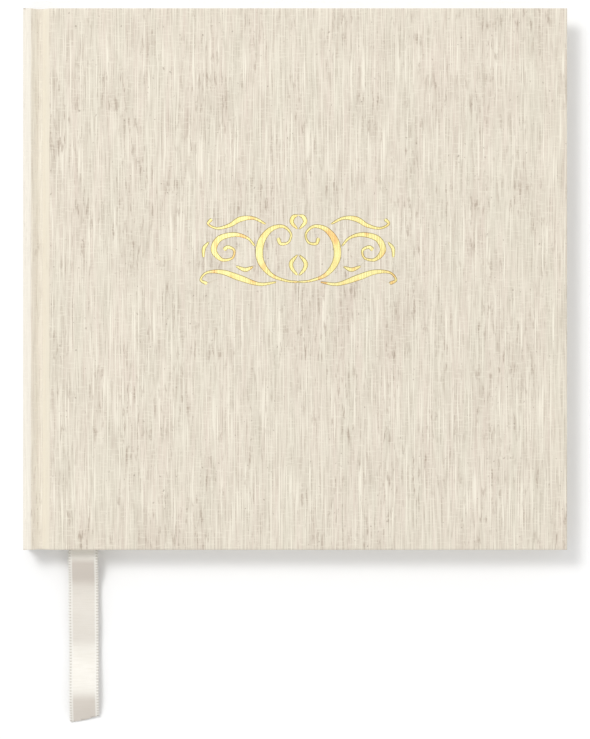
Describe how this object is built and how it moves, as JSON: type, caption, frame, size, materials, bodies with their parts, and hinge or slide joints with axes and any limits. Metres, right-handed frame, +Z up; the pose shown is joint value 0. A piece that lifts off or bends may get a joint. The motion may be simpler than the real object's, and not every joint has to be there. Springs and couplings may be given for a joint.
{
  "type": "wedding guest book",
  "caption": "Square cloth-covered wedding guest book, case-bound with grooved joints, sewn sections that open flat, a gold foil flourish and a picot-edged ribbon marker",
  "frame": {"origin": "centre of the back cover's outer face, which lies on the table", "axes": "+Z up through the closed book, +Y to the head, +X to the fore edge; the spine is on the -X side and the ribbon leaves at the tail, -Y"},
  "size_m": [0.21, 0.2751, 0.0175],
  "materials": {
    "bookcloth": "cream raw-silk bookcloth, ribbed weave with slubs, paper-backed",
    "greyboard": "dense grey binder's board",
    "endpaper": "smooth heavy ivory endpaper",
    "mull": "open starched cotton gauze",
    "page_paper": "uncoated ivory writing paper",
    "linen_thread": "waxed linen sewing thread",
    "crepe_lining": "creped kraft spine lining",
    "silk_band": "woven silk headband over a cord core",
    "satin_ribbon": "ivory double-faced satin with picot edges",
    "gold_foil": "hot-stamped gold foil, slightly dulled by the cloth weave"
  },
  "bodies": {
    "back_cover": {"back_board": "greyboard", "back_cloth": "bookcloth", "back_joint_cloth": "bookcloth", "back_mull": "mull", "back_pastedown": "endpaper", "back_flyleaf": "endpaper", "section_6": "page_paper", "sewing_thread_6": "linen_thread"},
    "spine": {"spine_board": "greyboard", "spine_cloth": "bookcloth"},
    "front_cover": {"front_board": "greyboard", "front_cloth": "bookcloth", "front_joint_cloth": "bookcloth", "front_mull": "mull", "front_pastedown": "endpaper", "foil_ornament": "gold_foil"},
    "leaves_5": {"section_5": "page_paper", "sewing_thread_5": "linen_thread"},
    "leaves_4": {"section_4": "page_paper", "sewing_thread_4": "linen_thread", "spine_lining": "crepe_lining", "headband": "silk_band", "tailband": "silk_band", "ribbon": "satin_ribbon", "ribbon_anchor": "satin_ribbon"},
    "leaves_3": {"section_3": "page_paper", "sewing_thread_3": "linen_thread"},
    "leaves_2": {"section_2": "page_paper", "sewing_thread_2": "linen_thread"},
    "leaves_1": {"section_1": "page_paper", "sewing_thread_1": "linen_thread", "front_flyleaf": "endpaper"},
    "ribbon_end": {"ribbon_tail": "satin_ribbon"}
  },
  "joints": [
    {"name": "spine_turn", "type": "hinge", "parent": "back_cover", "child": "spine", "pos_m": [-0.10335, 0, 0.00165], "axis": [0, -1, 0], "range_deg": [0, 90], "deforming": ["back_joint_cloth"]},
    {"name": "front_cover_opening", "type": "hinge", "parent": "spine", "child": "front_cover", "pos_m": [-0.10335, 0, 0.01581], "axis": [0, -1, 0], "range_deg": [0, 90], "deforming": ["front_joint_cloth"]},
    {"name": "leaves_5_turn", "type": "hinge", "parent": "back_cover", "child": "leaves_5", "pos_m": [-0.10105, 0, 0.00538], "axis": [0, -1, 0], "range_deg": [0, 1.12]},
    {"name": "leaves_4_turn", "type": "hinge", "parent": "leaves_5", "child": "leaves_4", "pos_m": [-0.10105, 0, 0.007], "axis": [0, -1, 0], "range_deg": [0, 1.72]},
    {"name": "middle_opening", "type": "hinge", "parent": "leaves_4", "child": "leaves_3", "pos_m": [-0.10105, 0, 0.00873], "axis": [0, -1, 0], "range_deg": [0, 174.42], "deforming": ["spine_lining", "headband", "tailband", "ribbon_anchor"]},
    {"name": "leaves_2_turn", "type": "hinge", "parent": "leaves_3", "child": "leaves_2", "pos_m": [-0.10105, 0, 0.01046], "axis": [0, -1, 0], "range_deg": [0, 1.72]},
    {"name": "leaves_1_turn", "type": "hinge", "parent": "leaves_2", "child": "leaves_1", "pos_m": [-0.10105, 0, 0.01208], "axis": [0, -1, 0], "range_deg": [0, 1.12]},
    {"name": "ribbon_lift", "type": "hinge", "parent": "leaves_4", "child": "ribbon_end", "pos_m": [-0.0815, -0.1048, 0.00883], "axis": [-1, 0, 0], "range_deg": [0, 80]}
  ],
  "couplings": [
    {"joint": "spine_turn", "follows": "front_cover_opening", "ratio": 1},
    {"joint": "leaves_5_turn", "follows": "front_cover_opening", "ratio": 0.012222},
    {"joint": "leaves_4_turn", "follows": "front_cover_opening", "ratio": 0.018889},
    {"joint": "middle_opening", "follows": "front_cover_opening", "ratio": 1.9378},
    {"joint": "leaves_2_turn", "follows": "front_cover_opening", "ratio": 0.018889},
    {"joint": "leaves_1_turn", "follows": "front_cover_opening", "ratio": 0.012222}
  ]
}
